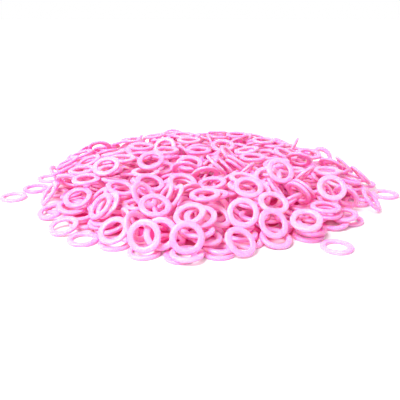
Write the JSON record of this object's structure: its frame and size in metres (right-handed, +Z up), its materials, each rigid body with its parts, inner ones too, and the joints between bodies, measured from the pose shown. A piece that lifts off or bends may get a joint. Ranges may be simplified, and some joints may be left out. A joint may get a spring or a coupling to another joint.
{
  "type": "heap of stitch markers",
  "caption": "Loose heap of small closed-ring stitch markers in pink plastic, rounded at the edges, with markers on and beside it that lift off.",
  "frame": {"origin": "on the floor, under the middle of the box round the whole heap and its strays", "axes": "+Z up from the floor; +X along the heap's long way, to the picture's right; +Y to the heap's back, away from the picture's viewer"},
  "size_m": [0.1498, 0.1332, 0.0183],
  "materials": {
    "pink_plastic": "smooth, slightly glossy, translucent-looking moulded plastic"
  },
  "bodies": {
    "heap": {"base_markers_back": "pink_plastic", "base_markers_back_left": "pink_plastic", "base_markers_back_right": "pink_plastic", "base_markers_front": "pink_plastic", "base_markers_front_left": "pink_plastic", "base_markers_front_right": "pink_plastic", "base_markers_left": "pink_plastic", "base_markers_right": "pink_plastic", "lower_markers_back": "pink_plastic", "lower_markers_back_left": "pink_plastic", "lower_markers_back_right": "pink_plastic", "lower_markers_front": "pink_plastic", "lower_markers_front_left": "pink_plastic", "lower_markers_front_right": "pink_plastic", "lower_markers_left": "pink_plastic", "lower_markers_right": "pink_plastic", "outer_markers_back": "pink_plastic", "outer_markers_back_left": "pink_plastic", "outer_markers_back_right": "pink_plastic", "outer_markers_front": "pink_plastic", "outer_markers_front_left": "pink_plastic", "outer_markers_front_right": "pink_plastic", "outer_markers_left": "pink_plastic", "outer_markers_right": "pink_plastic", "upper_markers_back": "pink_plastic", "upper_markers_back_left": "pink_plastic", "upper_markers_back_right": "pink_plastic", "upper_markers_front": "pink_plastic", "upper_markers_front_left": "pink_plastic", "upper_markers_front_right": "pink_plastic", "upper_markers_left": "pink_plastic", "upper_markers_right": "pink_plastic"},
    "front_marker_left": {"front_marker_left": "pink_plastic"},
    "front_marker_right": {"front_marker_right": "pink_plastic"},
    "stray_marker_left": {"stray_marker_left": "pink_plastic"},
    "stray_marker_left_back": {"stray_marker_left_back": "pink_plastic"},
    "stray_marker_left_inner": {"stray_marker_left_inner": "pink_plastic"},
    "stray_marker_right": {"stray_marker_right": "pink_plastic"},
    "top_marker_back": {"top_marker_back": "pink_plastic"},
    "top_marker_back_right": {"top_marker_back_right": "pink_plastic"},
    "top_marker_centre": {"top_marker_centre": "pink_plastic"},
    "top_marker_far_left": {"top_marker_far_left": "pink_plastic"},
    "top_marker_front": {"top_marker_front": "pink_plastic"},
    "top_marker_front_left": {"top_marker_front_left": "pink_plastic"},
    "top_marker_front_right": {"top_marker_front_right": "pink_plastic"},
    "top_marker_low_left": {"top_marker_low_left": "pink_plastic"},
    "top_marker_right": {"top_marker_right": "pink_plastic"},
    "top_marker_upper_centre": {"top_marker_upper_centre": "pink_plastic"},
    "top_marker_upper_left": {"top_marker_upper_left": "pink_plastic"},
    "top_marker_upper_right": {"top_marker_upper_right": "pink_plastic"}
  },
  "joints": [
    {"name": "front_marker_left_lift", "type": "slide", "parent": "heap", "child": "front_marker_left", "axis": [0, 0, 1], "range_m": [0, 0.04]},
    {"name": "front_marker_right_lift", "type": "slide", "parent": "heap", "child": "front_marker_right", "axis": [0, 0, 1], "range_m": [0, 0.04]},
    {"name": "stray_marker_left_lift", "type": "slide", "parent": "heap", "child": "stray_marker_left", "axis": [0, 0, 1], "range_m": [0, 0.04]},
    {"name": "stray_marker_left_back_lift", "type": "slide", "parent": "heap", "child": "stray_marker_left_back", "axis": [0, 0, 1], "range_m": [0, 0.04]},
    {"name": "stray_marker_left_inner_lift", "type": "slide", "parent": "heap", "child": "stray_marker_left_inner", "axis": [0, 0, 1], "range_m": [0, 0.04]},
    {"name": "stray_marker_right_lift", "type": "slide", "parent": "heap", "child": "stray_marker_right", "axis": [0, 0, 1], "range_m": [0, 0.04]},
    {"name": "top_marker_back_lift", "type": "slide", "parent": "heap", "child": "top_marker_back", "axis": [0, 0, 1], "range_m": [0, 0.04]},
    {"name": "top_marker_back_right_lift", "type": "slide", "parent": "heap", "child": "top_marker_back_right", "axis": [0, 0, 1], "range_m": [0, 0.04]},
    {"name": "top_marker_centre_lift", "type": "slide", "parent": "heap", "child": "top_marker_centre", "axis": [0, 0, 1], "range_m": [0, 0.04]},
    {"name": "top_marker_far_left_lift", "type": "slide", "parent": "heap", "child": "top_marker_far_left", "axis": [0, 0, 1], "range_m": [0, 0.04]},
    {"name": "top_marker_front_lift", "type": "slide", "parent": "heap", "child": "top_marker_front", "axis": [0, 0, 1], "range_m": [0, 0.04]},
    {"name": "top_marker_front_left_lift", "type": "slide", "parent": "heap", "child": "top_marker_front_left", "axis": [0, 0, 1], "range_m": [0, 0.04]},
    {"name": "top_marker_front_right_lift", "type": "slide", "parent": "heap", "child": "top_marker_front_right", "axis": [0, 0, 1], "range_m": [0, 0.04]},
    {"name": "top_marker_low_left_lift", "type": "slide", "parent": "heap", "child": "top_marker_low_left", "axis": [0, 0, 1], "range_m": [0, 0.04]},
    {"name": "top_marker_right_lift", "type": "slide", "parent": "heap", "child": "top_marker_right", "axis": [0, 0, 1], "range_m": [0, 0.04]},
    {"name": "top_marker_upper_centre_lift", "type": "slide", "parent": "heap", "child": "top_marker_upper_centre", "axis": [0, 0, 1], "range_m": [0, 0.04]},
    {"name": "top_marker_upper_left_lift", "type": "slide", "parent": "heap", "child": "top_marker_upper_left", "axis": [0, 0, 1], "range_m": [0, 0.04]},
    {"name": "top_marker_upper_right_lift", "type": "slide", "parent": "heap", "child": "top_marker_upper_right", "axis": [0, 0, 1], "range_m": [0, 0.04]}
  ]
}
